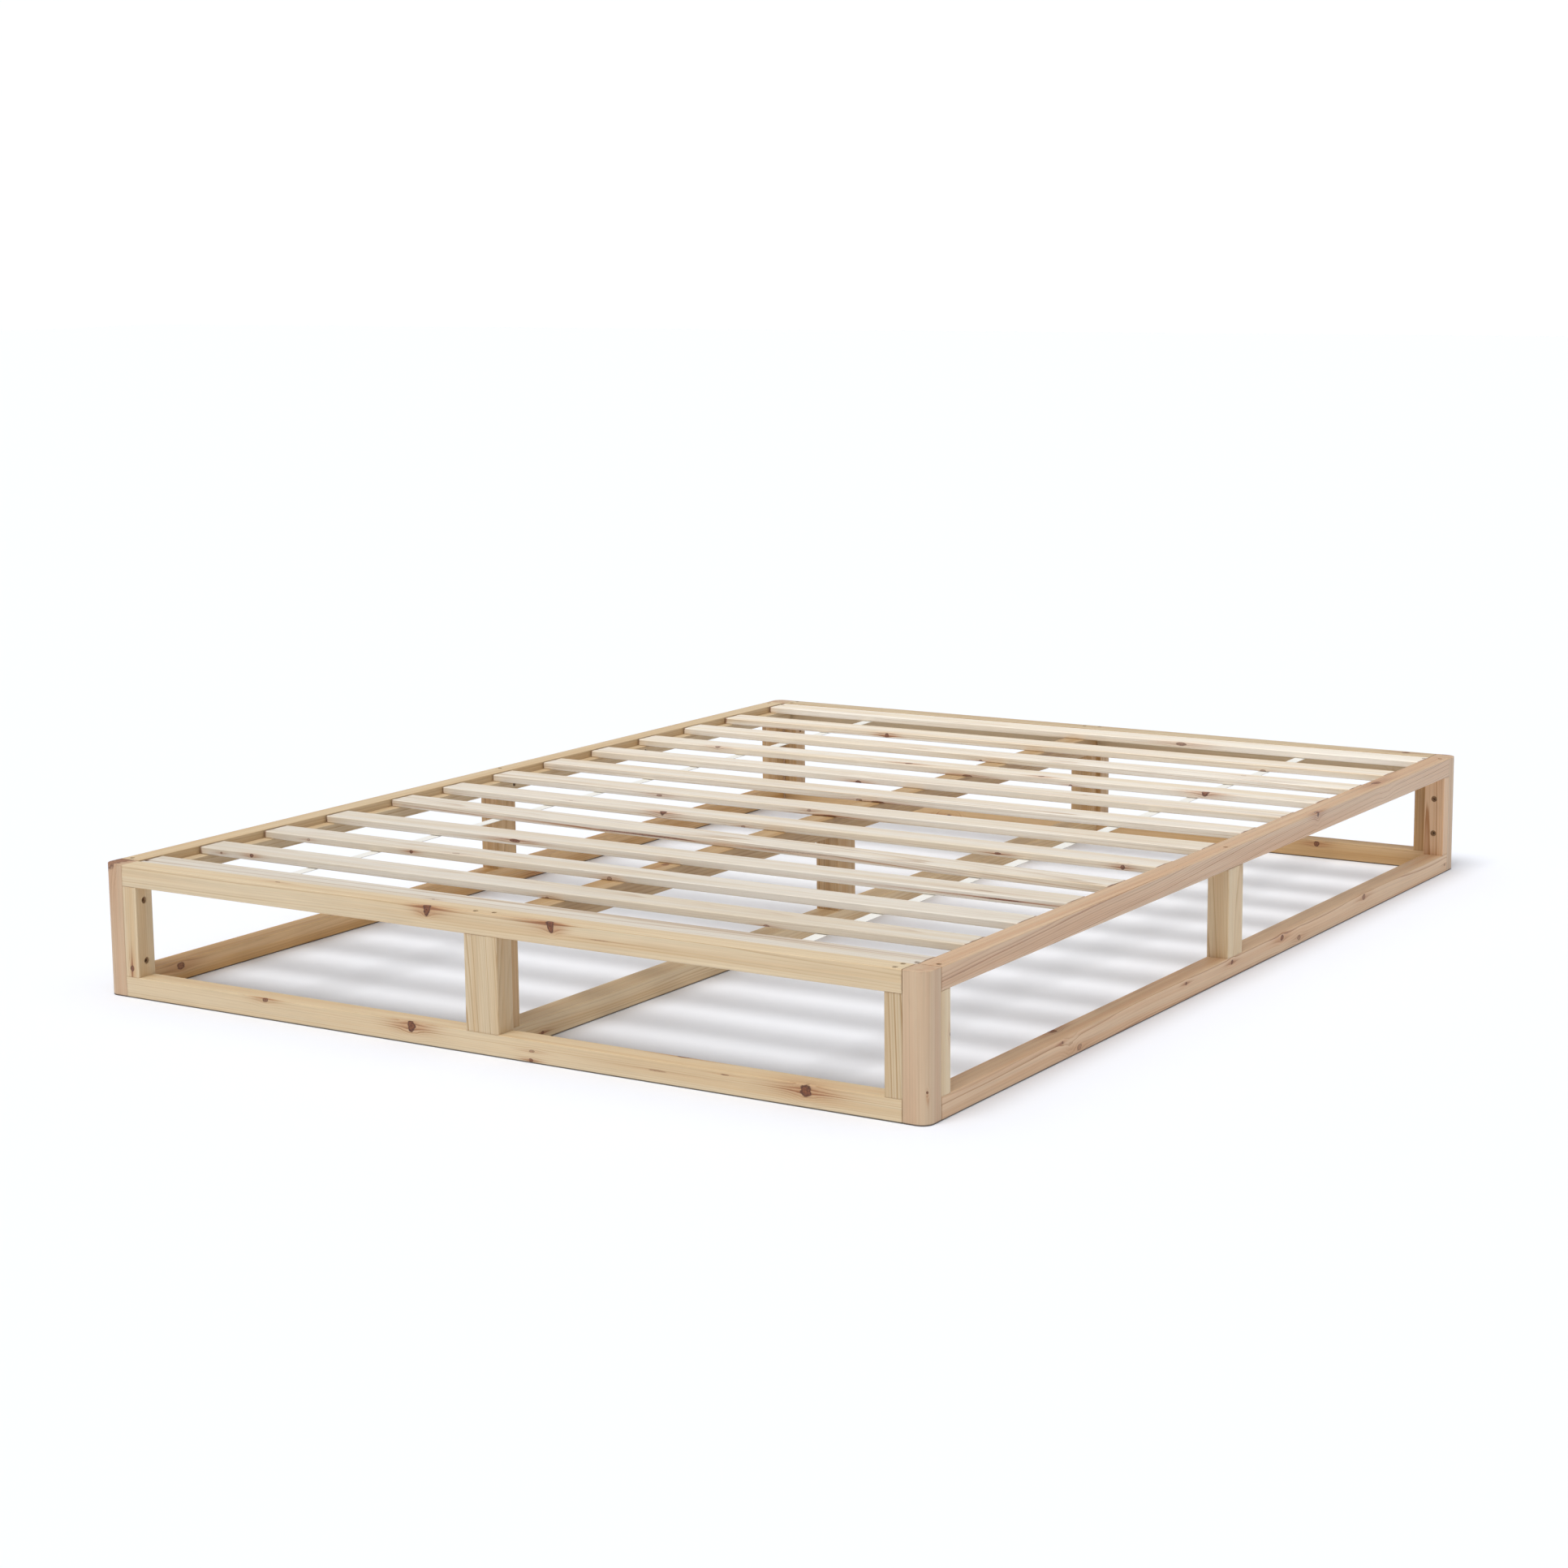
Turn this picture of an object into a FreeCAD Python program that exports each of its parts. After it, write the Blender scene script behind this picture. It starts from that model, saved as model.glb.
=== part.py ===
import FreeCAD, Part
import math
import os
from FreeCAD import Vector

# A low platform bed frame in solid pine, for a 1500 x 2000 mm mattress.
# X runs across the bed, Y along it (the front end is at -Y), Z up from the floor.
# The origin is the middle of the floor plan. Millimetres.
#
# Four corner posts carry four ladder frames: two end frames and two side frames, each with a
# top rail, a bottom rail, two stiles and a mid post. A fifth ladder frame runs lengthwise under
# the middle of the slats. The stiles are bolted to the posts, and the centre frame's stiles to
# the end frames' mid posts. A ledger along each side rail carries the ends of thirteen slats,
# and two fabric tapes stapled underneath keep the slats apart.

# Overall size
WIDTH = 1500.0
LENGTH = 2000.0
HEIGHT = 214.0

# Timber sections
POST = 39.0                 # corner post, square
POST_ROUND = 18.0           # radius of the post's outer upright edge
RAIL_DEEP = 37.0            # rails, side stiles and mid posts, measured through the frame
RAIL_HIGH = 34.0
END_STILE = 28.0            # stile width along the end frames
SIDE_STILE = 25.0           # stile width along the side and centre frames
END_MID_POST = 60.0
SIDE_MID_POST = 56.0
CENTRE_WIDE = 45.0          # the centre frame's thickness across the bed
LEDGER = 20.0               # ledger, square
EASE = 1.5                  # eased long edges of the timber
POST_END_EASE = 1.2         # eased rims at the posts' top and foot
SEAM = 0.5                  # a rail stops this short of the post or rail it meets

# Slatted base
SLAT_LONG = 1420.0
SLAT_WIDE = 57.0
SLAT_THICK = 12.0
SLAT_EASE = 2.0
SLAT_SUNK = 1.5             # slat tops lie this far below the rail tops
LOOSE_PITCH = 155.7         # spacing of the eleven slats between the two fixed ones
LOOSE_START = -792.5        # middle of the first of them
# How far each loose slat's left end lies behind its right end, as the tapes let them settle
LOOSE_SKEW = (3.0, 3.0, 6.0, 46.0, 22.0, 5.0, 3.0, -2.0, 4.0, 12.0, 1.0)
TAPE_OUT = 475.0            # tape's distance from the bed's centre line
TAPE_WIDE = 20.0
TAPE_THICK = 1.0
TAPE_INSET = 6.0            # tape stops this far inside the outer edges of the fixed slats

# Frame bolts (M6, cylinder head with a hexagon socket) and the insert nuts they run into
BOLT_RADIUS = 3.0
BOLT_LONG = 38.0            # under the head
BOLT_HEAD_RADIUS = 5.0
BOLT_HEAD_HIGH = 6.0
SOCKET_ACROSS = 5.0
SOCKET_DEEP = 3.5
COUNTERBORE_RADIUS = 5.5
COUNTERBORE_DEEP = 8.0
BOLT_HOLE_RADIUS = 3.25
BOLT_HOLE_SPARE = 2.0       # the hole runs on this far past the bolt's end
NUT_RADIUS = 5.0
NUT_LONG = 15.0
END_BOLT_HEIGHTS = (59.0, 157.0)
SIDE_BOLT_HEIGHTS = (75.0, 140.0)

# Countersunk wood screws
SCREW_RADIUS = 2.0
SCREW_HEAD_RADIUS = 4.0
SCREW_HEAD_HIGH = 2.4
SCREW_POINT = 5.0
SCREW_SUNK = 1.5            # the head's top lies this far below the wood
CROSS_LONG = 4.4
CROSS_WIDE = 0.9
CROSS_DEEP = 1.2
RAIL_SCREW = 60.0
STILE_SCREW_OFF = 1.0       # end frames: from the stile's middle, towards the bed's middle
STILE_SCREWS_IN = (8.0, 30.0)   # from the frame's outer face
END_MID_SCREWS = ((-13.0, 9.0), (18.0, 13.0))   # from the bed's middle, from the outer face
SIDE_SCREW_IN = 11.0        # side frames: from the outer face
SIDE_LAST_SCREW_IN = 14.0
SIDE_MID_SCREW = 18.0       # from the side frame's middle
LEDGER_SCREW = 44.0
LEDGER_SCREWS = 5
LEDGER_SCREW_PITCH = 425.0
SLAT_SCREW = 24.0
SLAT_SCREW_OUT = 2.0        # beyond the ledger's middle
SLAT_SCREW_IN = 15.0        # from the end rail

# Staples that hold the tapes
STAPLE_WIDE = 10.0
STAPLE_WIRE = 0.8
STAPLE_LEG = 8.0

# Derived planes
HALF_W = WIDTH / 2
HALF_L = LENGTH / 2
RAIL_UNDER = HEIGHT - RAIL_HIGH
SLAT_UNDER = HEIGHT - SLAT_SUNK - SLAT_THICK
BEAM_UNDER = SLAT_UNDER - RAIL_HIGH
RAIL_MIDDLE = RAIL_DEEP / 2
UP = Vector(0, 0, 1)
DOWN = Vector(0, 0, -1)
NEAR = 0.1                  # places closer than this are the same place

timber = {}                 # node name -> solid that gets its holes cut
fittings = {}               # node name -> list of metal solids
pockets = []                # what the fittings take out of the timber


# ---------------------------------------------------------------- timber

def edges_along(solid, axis):
    """The straight edges of a solid that run parallel to an axis."""
    chosen = []
    for edge in solid.Edges:
        run = edge.Vertexes[-1].Point - edge.Vertexes[0].Point
        if run.Length > 0 and run.cross(axis).Length < 1e-6 * run.Length:
            chosen.append(edge)
    return chosen


def board(x, y, z, ease=EASE):
    """A straight timber between pairs of coordinates, its four long edges eased."""
    size = Vector(x[1] - x[0], y[1] - y[0], z[1] - z[0])
    solid = Part.makeBox(size.x, size.y, size.z, Vector(x[0], y[0], z[0]))
    longest = max(size.x, size.y, size.z)
    axis = Vector(size.x == longest, size.y == longest, size.z == longest)
    return solid.makeFillet(ease, edges_along(solid, axis))


def span(side, outer, inner):
    """A pair of coordinates on one side of the middle, lowest first."""
    return tuple(sorted((side * outer, side * inner)))


def corner_post(side, end):
    """A square post whose outer upright edge is a large round and whose rims are eased."""
    x = span(side, HALF_W, HALF_W - POST)
    y = span(end, HALF_L, HALF_L - POST)
    post = Part.makeBox(POST, POST, HEIGHT, Vector(x[0], y[0], 0))
    outer = Vector(side * HALF_W, end * HALF_L, 0)
    rounded = [e for e in edges_along(post, UP) if is_near(e.Vertexes[0].Point, outer)]
    post = post.makeFillet(POST_ROUND, rounded)
    inner = [e for e in edges_along(post, UP) if is_inner_edge(e, side, end)]
    post = post.makeFillet(EASE, inner)
    rims = []
    for face in post.Faces:
        if abs(face.CenterOfMass.z) < NEAR or abs(face.CenterOfMass.z - HEIGHT) < NEAR:
            rims.extend(face.Edges)
    return post.makeFillet(POST_END_EASE, rims)


def is_near(point, other):
    """True where two points lie on the same upright line."""
    return math.hypot(point.x - other.x, point.y - other.y) < NEAR


def is_inner_edge(edge, side, end):
    """True for an upright edge of a post that is a real corner, not the end of its round."""
    foot = edge.Vertexes[0].Point
    on_side_face = abs(foot.x - side * HALF_W) < NEAR
    on_end_face = abs(foot.y - end * HALF_L) < NEAR
    at_inner_x = abs(foot.x - side * (HALF_W - POST)) < NEAR
    at_inner_y = abs(foot.y - end * (HALF_L - POST)) < NEAR
    return (at_inner_x and (on_end_face or at_inner_y)) or (at_inner_y and on_side_face)


def end_frame(name, end):
    """Top rail, bottom rail, two stiles and a mid post between the posts of one end."""
    y = span(end, HALF_L, HALF_L - RAIL_DEEP)
    reach = HALF_W - POST
    rail_x = (-reach + SEAM, reach - SEAM)
    between = (RAIL_HIGH, RAIL_UNDER)
    timber[name + "_top_rail"] = board(rail_x, y, (RAIL_UNDER, HEIGHT))
    timber[name + "_bottom_rail"] = board(rail_x, y, (0, RAIL_HIGH))
    timber[name + "_left_stile"] = board((-reach, -reach + END_STILE), y, between)
    timber[name + "_right_stile"] = board((reach - END_STILE, reach), y, between)
    timber[name + "_mid_post"] = board((-END_MID_POST / 2, END_MID_POST / 2), y, between)


def side_frame(name, side):
    """The same ladder along one side of the bed."""
    x = span(side, HALF_W, HALF_W - RAIL_DEEP)
    reach = HALF_L - POST
    rail_y = (-reach + SEAM, reach - SEAM)
    between = (RAIL_HIGH, RAIL_UNDER)
    timber[name + "_top_rail"] = board(x, rail_y, (RAIL_UNDER, HEIGHT))
    timber[name + "_bottom_rail"] = board(x, rail_y, (0, RAIL_HIGH))
    timber[name + "_front_stile"] = board(x, (-reach, -reach + SIDE_STILE), between)
    timber[name + "_back_stile"] = board(x, (reach - SIDE_STILE, reach), between)
    timber[name + "_mid_post"] = board(x, (-SIDE_MID_POST / 2, SIDE_MID_POST / 2), between)


def centre_frame():
    """The lengthwise ladder under the middle of the slats, between the two end frames."""
    x = (-CENTRE_WIDE / 2, CENTRE_WIDE / 2)
    reach = HALF_L - RAIL_DEEP
    rail_y = (-reach + SEAM, reach - SEAM)
    between = (RAIL_HIGH, BEAM_UNDER)
    timber["centre_top_beam"] = board(x, rail_y, (BEAM_UNDER, SLAT_UNDER))
    timber["centre_bottom_rail"] = board(x, rail_y, (0, RAIL_HIGH))
    timber["centre_front_stile"] = board(x, (-reach, -reach + SIDE_STILE), between)
    timber["centre_back_stile"] = board(x, (reach - SIDE_STILE, reach), between)
    timber["centre_mid_post"] = board(x, (-SIDE_MID_POST / 2, SIDE_MID_POST / 2), between)


def ledger(side):
    """The square batten inside a side rail that the slat ends rest on."""
    x = span(side, HALF_W - RAIL_DEEP, HALF_W - RAIL_DEEP - LEDGER)
    reach = HALF_L - POST - SEAM
    return board(x, (-reach, reach), (SLAT_UNDER - LEDGER, SLAT_UNDER))


def slat_places():
    """Middle and skew of every slat: the first and last lie against the end rails."""
    fixed = HALF_L - RAIL_DEEP - SLAT_WIDE / 2
    places = [(-fixed, 0.0)]
    for step, skew in enumerate(LOOSE_SKEW):
        places.append((LOOSE_START + step * LOOSE_PITCH, skew))
    places.append((fixed, 0.0))
    return places


def slat(middle, skew):
    """One flat slat, turned a little where it has settled askew."""
    half = SLAT_LONG / 2
    across = (middle - SLAT_WIDE / 2, middle + SLAT_WIDE / 2)
    solid = board((-half, half), across, (SLAT_UNDER, SLAT_UNDER + SLAT_THICK), SLAT_EASE)
    solid.rotate(Vector(0, middle, 0), UP, -math.degrees(math.asin(skew / SLAT_LONG)))
    return solid


def tape(side):
    """The fabric tape under the slats on one side of the centre line."""
    reach = HALF_L - RAIL_DEEP - TAPE_INSET
    corner = Vector(side * TAPE_OUT - TAPE_WIDE / 2, -reach, SLAT_UNDER - TAPE_THICK)
    return Part.makeBox(TAPE_WIDE, 2 * reach, TAPE_THICK, corner)


# ---------------------------------------------------------------- fittings

def place(shape, at, towards):
    """Moves a fitting drawn along +Z from the origin to its point and direction."""
    placed = shape.copy()
    turn = FreeCAD.Rotation(UP, towards)
    placed.Placement = FreeCAD.Placement(at, turn)
    return placed


def bolt_shape():
    """Head from z = 0 to its height, shank beyond it, hexagon socket in the head's face."""
    head = Part.makeCylinder(BOLT_HEAD_RADIUS, BOLT_HEAD_HIGH)
    shank = Part.makeCylinder(BOLT_RADIUS, BOLT_HEAD_HIGH + BOLT_LONG)
    corners = []
    for k in range(7):
        angle = math.radians(60 * k)
        reach = SOCKET_ACROSS / math.sqrt(3)
        corners.append(Vector(reach * math.cos(angle), reach * math.sin(angle), 0))
    socket = Part.Face(Part.makePolygon(corners)).extrude(Vector(0, 0, SOCKET_DEEP))
    return head.fuse(shank).cut(socket).removeSplitter()


def bolt_pocket_shape():
    """Counterbore from the wood's face, then the clearance hole."""
    bore = Part.makeCylinder(COUNTERBORE_RADIUS, COUNTERBORE_DEEP)
    hole = Part.makeCylinder(BOLT_HOLE_RADIUS, COUNTERBORE_DEEP + BOLT_LONG + BOLT_HOLE_SPARE)
    return bore.fuse(hole).removeSplitter()


def screw_shape(length):
    """A countersunk screw with a cross recess, its head's face at z = 0."""
    head = Part.makeCone(SCREW_HEAD_RADIUS, SCREW_RADIUS, SCREW_HEAD_HIGH)
    shank = Part.makeCylinder(SCREW_RADIUS, length - SCREW_POINT)
    point = Part.makeCone(SCREW_RADIUS, 0, SCREW_POINT, Vector(0, 0, length - SCREW_POINT))
    body = head.fuse([shank, point])
    for wide, deep in ((CROSS_LONG, CROSS_WIDE), (CROSS_WIDE, CROSS_LONG)):
        slot = Part.makeBox(wide, deep, CROSS_DEEP, Vector(-wide / 2, -deep / 2, 0))
        body = body.cut(slot)
    return body.removeSplitter()


def screw_pocket_shape(length):
    """The screw's own outline with the sunk hole above its head."""
    head = Part.makeCone(SCREW_HEAD_RADIUS, SCREW_RADIUS, SCREW_HEAD_HIGH)
    shank = Part.makeCylinder(SCREW_RADIUS, length - SCREW_POINT)
    point = Part.makeCone(SCREW_RADIUS, 0, SCREW_POINT, Vector(0, 0, length - SCREW_POINT))
    sunk = Part.makeCylinder(SCREW_HEAD_RADIUS, SCREW_SUNK, Vector(0, 0, -SCREW_SUNK))
    return sunk.fuse([head, shank, point]).removeSplitter()


def staple_shape():
    """A wire staple: crown along X under the tape, two legs up into the slat."""
    half = STAPLE_WIDE / 2
    low = Vector(-half, -STAPLE_WIRE / 2, -STAPLE_WIRE)
    crown = Part.makeBox(STAPLE_WIDE, STAPLE_WIRE, STAPLE_WIRE, low)
    left = Part.makeBox(STAPLE_WIRE, STAPLE_WIRE, STAPLE_WIRE + STAPLE_LEG, low)
    right = left.copy()
    right.translate(Vector(STAPLE_WIDE - STAPLE_WIRE, 0, 0))
    return crown.fuse([left, right]).removeSplitter()


def add_bolt(node, at, towards):
    """A frame bolt whose counterbore opens at a point on the wood's face."""
    seat = at + towards * (COUNTERBORE_DEEP - BOLT_HEAD_HIGH)
    fittings.setdefault(node, []).append(place(bolt_shape(), seat, towards))
    pockets.append(place(bolt_pocket_shape(), at, towards))


def add_nut(at, towards):
    """A threaded insert nut, flush with the face that it is driven into."""
    outer = Part.makeCylinder(NUT_RADIUS, NUT_LONG)
    nut = outer.cut(Part.makeCylinder(BOLT_RADIUS, NUT_LONG))
    fittings.setdefault("insert_nuts", []).append(place(nut, at, towards))
    pockets.append(place(outer, at, towards))


def add_screw(node, at, towards, length):
    """A wood screw sunk a little below a point on the wood's face."""
    seat = at + towards * SCREW_SUNK
    fittings.setdefault(node, []).append(place(screw_shape(length), seat, towards))
    pockets.append(place(screw_pocket_shape(length), seat, towards))


def frame_bolts():
    """Two bolts through every stile: into the corner posts, and into the end mid posts."""
    for side in (-1, 1):
        for end in (-1, 1):
            across = Vector(side, 0, 0)
            y = end * (HALF_L - RAIL_MIDDLE)
            for z in END_BOLT_HEIGHTS:
                add_bolt("end_frame_bolts", Vector(side * (HALF_W - POST - END_STILE), y, z), across)
                add_nut(Vector(side * (HALF_W - POST), y, z), across)
            along = Vector(0, end, 0)
            x = side * (HALF_W - RAIL_MIDDLE)
            for z in SIDE_BOLT_HEIGHTS:
                add_bolt("side_frame_bolts", Vector(x, end * (HALF_L - POST - SIDE_STILE), z), along)
                add_nut(Vector(x, end * (HALF_L - POST), z), along)
    for end in (-1, 1):
        along = Vector(0, end, 0)
        face = end * (HALF_L - RAIL_DEEP)
        for z in SIDE_BOLT_HEIGHTS:
            add_bolt("centre_frame_bolts", Vector(0, face - end * SIDE_STILE, z), along)
            add_nut(Vector(0, face, z), along)


def rail_screws():
    """Screws down through the top rails and up through the bottom rails.

    The bed is the same turned half a turn, so each place is used twice. The top rail of an end
    frame is screwed at one end only and glued at the other."""
    stile_x = HALF_W - POST - END_STILE / 2 - STILE_SCREW_OFF
    stile_y = HALF_L - POST - SIDE_STILE / 2
    end_stile = [(stile_x, depth - HALF_L) for depth in STILE_SCREWS_IN]
    end_mid = [(x, depth - HALF_L) for x, depth in END_MID_SCREWS]
    side_line = [(HALF_W - SIDE_SCREW_IN, -stile_y), (HALF_W - SIDE_SCREW_IN, -SIDE_MID_SCREW)]
    side_line.append((HALF_W - SIDE_LAST_SCREW_IN, stile_y))
    other_stile = [(-x, y) for x, y in end_stile]
    for half_turn in (1, -1):
        for x, y in end_stile + end_mid + side_line:
            at = Vector(half_turn * x, half_turn * y, HEIGHT)
            add_screw("top_rail_screws", at, DOWN, RAIL_SCREW)
        for x, y in end_stile + other_stile + end_mid + side_line:
            at = Vector(half_turn * x, half_turn * y, 0)
            add_screw("bottom_rail_screws", at, UP, RAIL_SCREW)


def centre_screws():
    """Pairs of screws that hold the centre frame's stiles and mid post between its rails."""
    stile_y = HALF_L - RAIL_DEEP - SIDE_STILE / 2
    for y in (-stile_y, 0, stile_y):
        for x in (-CENTRE_WIDE / 4, CENTRE_WIDE / 4):
            add_screw("centre_frame_screws", Vector(x, y, SLAT_UNDER), DOWN, RAIL_SCREW)
            add_screw("centre_frame_screws", Vector(x, y, 0), UP, RAIL_SCREW)


def ledger_screws():
    """An even row of screws through each ledger into its side rail."""
    face = HALF_W - RAIL_DEEP - LEDGER
    first = -LEDGER_SCREW_PITCH * (LEDGER_SCREWS - 1) / 2
    for side in (-1, 1):
        for step in range(LEDGER_SCREWS):
            along = first + step * LEDGER_SCREW_PITCH
            at = Vector(side * face, along, SLAT_UNDER - LEDGER / 2)
            add_screw("ledger_screws", at, Vector(side, 0, 0), LEDGER_SCREW)


def slat_screws():
    """The first and last slats are screwed to the ledgers near their outer edges."""
    x = HALF_W - RAIL_DEEP - LEDGER / 2 + SLAT_SCREW_OUT
    y = HALF_L - RAIL_DEEP - SLAT_SCREW_IN
    for side in (-1, 1):
        for end in (-1, 1):
            at = Vector(side * x, end * y, SLAT_UNDER + SLAT_THICK)
            add_screw("end_slat_screws", at, DOWN, SLAT_SCREW)


def tape_staples():
    """One staple where each tape crosses each slat."""
    staple = staple_shape()
    for side in (-1, 1):
        x = side * TAPE_OUT
        for middle, skew in slat_places():
            y = middle - skew * x / SLAT_LONG
            placed = place(staple, Vector(x, y, SLAT_UNDER - TAPE_THICK), UP)
            fittings.setdefault("tape_staples", []).append(placed)
            pockets.append(placed)


# ---------------------------------------------------------------- assembly

for side, across in ((-1, "left"), (1, "right")):
    for end, along in ((-1, "front"), (1, "back")):
        timber["corner_post_" + along + "_" + across] = corner_post(side, end)
    side_frame(across, side)
    timber[across + "_ledger"] = ledger(side)
    timber[across + "_tape"] = tape(side)
end_frame("front", -1)
end_frame("back", 1)
centre_frame()
for number, (middle, skew) in enumerate(slat_places(), 1):
    timber["slat_%02d" % number] = slat(middle, skew)

frame_bolts()
rail_screws()
centre_screws()
ledger_screws()
slat_screws()
tape_staples()

os.makedirs("parts", exist_ok=True)
for name, solid in timber.items():
    near = [p for p in pockets if p.BoundBox.intersect(solid.BoundBox)]
    if near:
        solid = solid.cut(near)
    solid.exportStep("parts/" + name + ".step")

for name, group in fittings.items():
    Part.makeCompound(group).exportStep("parts/" + name + ".step")
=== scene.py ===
import math
import random

import bpy
from mathutils import Euler, Matrix, Vector


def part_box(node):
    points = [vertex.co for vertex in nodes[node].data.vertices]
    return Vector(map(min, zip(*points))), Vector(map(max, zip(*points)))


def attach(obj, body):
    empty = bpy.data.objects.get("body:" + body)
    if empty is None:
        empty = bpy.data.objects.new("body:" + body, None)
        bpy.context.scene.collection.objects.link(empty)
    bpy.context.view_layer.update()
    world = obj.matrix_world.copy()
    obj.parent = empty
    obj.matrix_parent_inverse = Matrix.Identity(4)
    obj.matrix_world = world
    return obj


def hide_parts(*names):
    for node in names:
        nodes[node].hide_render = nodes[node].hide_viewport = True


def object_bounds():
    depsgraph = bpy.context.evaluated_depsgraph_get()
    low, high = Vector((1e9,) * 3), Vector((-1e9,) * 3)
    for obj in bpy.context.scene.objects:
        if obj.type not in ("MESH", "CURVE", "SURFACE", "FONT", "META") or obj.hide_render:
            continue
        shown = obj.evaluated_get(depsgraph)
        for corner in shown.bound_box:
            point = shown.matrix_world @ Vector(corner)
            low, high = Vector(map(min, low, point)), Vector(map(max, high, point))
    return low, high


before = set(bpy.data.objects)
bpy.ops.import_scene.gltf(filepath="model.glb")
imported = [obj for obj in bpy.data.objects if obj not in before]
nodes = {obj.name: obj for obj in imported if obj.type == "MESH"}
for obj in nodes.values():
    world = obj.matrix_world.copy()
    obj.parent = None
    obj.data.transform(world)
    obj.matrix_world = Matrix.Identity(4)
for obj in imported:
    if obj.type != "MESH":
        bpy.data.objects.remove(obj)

cad_low, cad_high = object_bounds()

# ---- Corner posts ----
# Four square posts of bare planed pine, a little pinker than the other timber, each with its outer
# upright edge turned to a large round. The pine finish made for them here is used for every board:
# growth rings round the heart of the tree, fibres along the board, and the knots of its branches.


class Shade:
    """One output in a finish's nodes. Sums written on it add Math nodes."""

    def __init__(self, tree, socket=None):
        self.tree = tree
        self.socket = socket

    def node(self, kind, settings=None, inputs=None, output=0):
        """A new node of this finish, with its settings made before its sockets are filled."""
        made = self.tree.nodes.new(kind)
        for name, value in (settings or {}).items():
            setattr(made, name, value)
        for name, value in (inputs or {}).items():
            if isinstance(value, Shade):
                self.tree.links.new(value.socket, made.inputs[name])
            else:
                made.inputs[name].default_value = value
        return Shade(self.tree, made.outputs[output])

    def math(self, operation, *others):
        """A Math node on this value and the others."""
        values = dict(enumerate((self,) + others))
        return self.node("ShaderNodeMath", {"operation": operation}, values)

    def __add__(self, other):
        return self.math("ADD", other)

    def __sub__(self, other):
        return self.math("SUBTRACT", other)

    def __rsub__(self, other):
        return self.math("MULTIPLY_ADD", -1, other)

    def __mul__(self, other):
        return self.math("MULTIPLY", other)

    def __truediv__(self, other):
        return self.math("DIVIDE", other)

    def __pow__(self, other):
        return self.math("POWER", other)

    __radd__ = __add__
    __rmul__ = __mul__

    def vector(self, operation, other=(0, 0, 0), output=0):
        """A Vector Math node on this vector and another. A length or a product is its output 1."""
        settings = {"operation": operation}
        if operation == "SCALE":
            return self.node("ShaderNodeVectorMath", settings, {0: self, "Scale": other})
        return self.node("ShaderNodeVectorMath", settings, {0: self, 1: other}, output)

    def parts(self):
        """The three numbers of a vector."""
        split = self.node("ShaderNodeSeparateXYZ", None, {0: self})
        return [Shade(self.tree, output) for output in split.socket.node.outputs]

    def bell(self, width):
        """1 where the value is 0, falling away smoothly over a width."""
        return ((self / width) ** 2 * -1).math("EXPONENT")

    def rise(self, low, high):
        """0 below low and 1 above high, with a smooth climb between."""
        limits = {"Value": self, "From Min": low, "From Max": high}
        return self.node("ShaderNodeMapRange", {"interpolation_type": "SMOOTHSTEP"}, limits)

    def noise(self, clouds, seed, detail=2.0, rough=0.5):
        """Cloudy variation from 0 to 1, with so many clouds to the metre each way."""
        start = (seed, seed * 1.7, seed * 0.6)
        moved = self.node("ShaderNodeMapping", None,
                          {"Vector": self, "Location": start, "Scale": clouds})
        return self.node("ShaderNodeTexNoise", None,
                         {"Vector": moved, "Scale": 1.0, "Detail": detail, "Roughness": rough})

    def blend(self, colour, other):
        """A share from 0 to 1 as the mix of one colour with another."""
        mixed = {"data_type": "RGBA", "clamp_factor": True}
        return self.node("ShaderNodeMix", mixed, {0: self, 6: colour, 7: other}, 2)

    def bump(self, strength, distance):
        """The slope of the surface where this is its height."""
        sizes = {"Height": self, "Strength": strength, "Distance": distance}
        return self.node("ShaderNodeBump", None, sizes)

    def feed(self, shader, name):
        self.tree.links.new(self.socket, shader.inputs[name])


def paint(text):
    """A colour written as six hexadecimal digits, as linear light."""
    parts = [int(text[i:i + 2], 16) / 255 for i in (0, 2, 4)]
    return tuple(p / 12.92 if p <= 0.04045 else ((p + 0.055) / 1.055) ** 2.4 for p in parts) + (1,)


def start_finish(name):
    """An empty material: the material, its shader, and the place on the piece that it colours."""
    made = bpy.data.materials.new(name)
    made.use_nodes = True
    tree = made.node_tree
    place = Shade(tree).node("ShaderNodeTexCoord", output=3)
    return made, tree.nodes["Principled BSDF"], place


def knot(place, radius, branch, dark=1.0, long=1.25, taper=0.0):
    """Where a branch left the tree. long is how many times longer it is along the grain than
    across it, and taper how fast the branch thickens on its way out, per metre."""
    return Vector(place), radius, Vector(branch).normalized(), dark, long, taper


def strongest(masks):
    """The largest of several masks at every place, compared in pairs."""
    waiting = list(masks)
    while len(waiting) > 1:
        waiting.append(waiting.pop(0).math("MAXIMUM", waiting.pop(0)))
    return waiting[0]


PITH_LEAST = 0.12           # a tapering branch never gets thinner than this share of its radius
GLOW_NEAR = 0.22            # the glow round a knot counts distance along the grain as this much
PUSH_REACH, PUSH = 2.6, 0.6     # how far round a knot the grain bends, and how much
RIM_AT, RIM_WIDE = 0.84, 0.13   # the bark ring's place and width, in knot radii
CIRCLES = 11                # how close the rings inside a knot lie


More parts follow.
